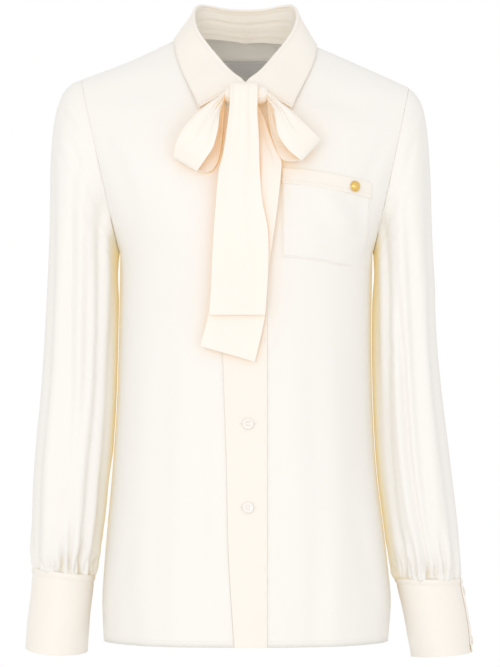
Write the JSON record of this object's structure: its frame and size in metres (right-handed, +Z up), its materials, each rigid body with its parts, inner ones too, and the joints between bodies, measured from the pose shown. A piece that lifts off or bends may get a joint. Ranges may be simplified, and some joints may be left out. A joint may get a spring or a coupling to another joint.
{
  "type": "tie neck blouse",
  "caption": "Ivory silk crepe blouse worn on an invisible form: pointed collar with a tied bow, long gathered sleeves with deep cuffs, buttoned placket and a chest pocket.",
  "frame": {"origin": "between the shoulders at the base of the neck, where the blouse hangs on its wearer", "axes": "+Z up, -Y the front, +X the wearer's left"},
  "size_m": [0.515, 0.2682, 0.7521],
  "materials": {
    "ivory_crepe": "single layer of silk crepe, ivory, soft satin sheen",
    "ivory_crepe_double": "two layers of the same crepe with light interfacing",
    "ivory_crepe_tie": "the same crepe, doubled for the tie, a little warmer",
    "pearl_button": "pearly shirt button, polished",
    "gilt_stud": "polished gold-coloured plain dome",
    "woven_label": "bare woven tape, pale grey"
  },
  "bodies": {
    "root": {"front_right": "ivory_crepe", "front_left": "ivory_crepe", "back": "ivory_crepe", "sleeve_right": "ivory_crepe", "sleeve_left": "ivory_crepe", "pocket": "ivory_crepe", "placket": "ivory_crepe_double", "pocket_band": "ivory_crepe_double", "cuff_right": "ivory_crepe_double", "cuff_left": "ivory_crepe_double", "collar_stand": "ivory_crepe_double", "collar_leaf": "ivory_crepe_double", "tie_band": "ivory_crepe_tie", "tie_knot": "ivory_crepe_tie", "bow_loop_right": "ivory_crepe_tie", "bow_loop_left": "ivory_crepe_tie", "tie_tail_front": "ivory_crepe_tie", "tie_tail_back": "ivory_crepe_tie", "front_button_1": "pearl_button", "front_button_2": "pearl_button", "front_button_3": "pearl_button", "front_button_4": "pearl_button", "front_button_5": "pearl_button", "cuff_button_right_1": "pearl_button", "cuff_button_right_2": "pearl_button", "cuff_button_left_1": "pearl_button", "cuff_button_left_2": "pearl_button", "pocket_stud": "gilt_stud", "neck_label": "woven_label"}
  },
  "joints": []
}
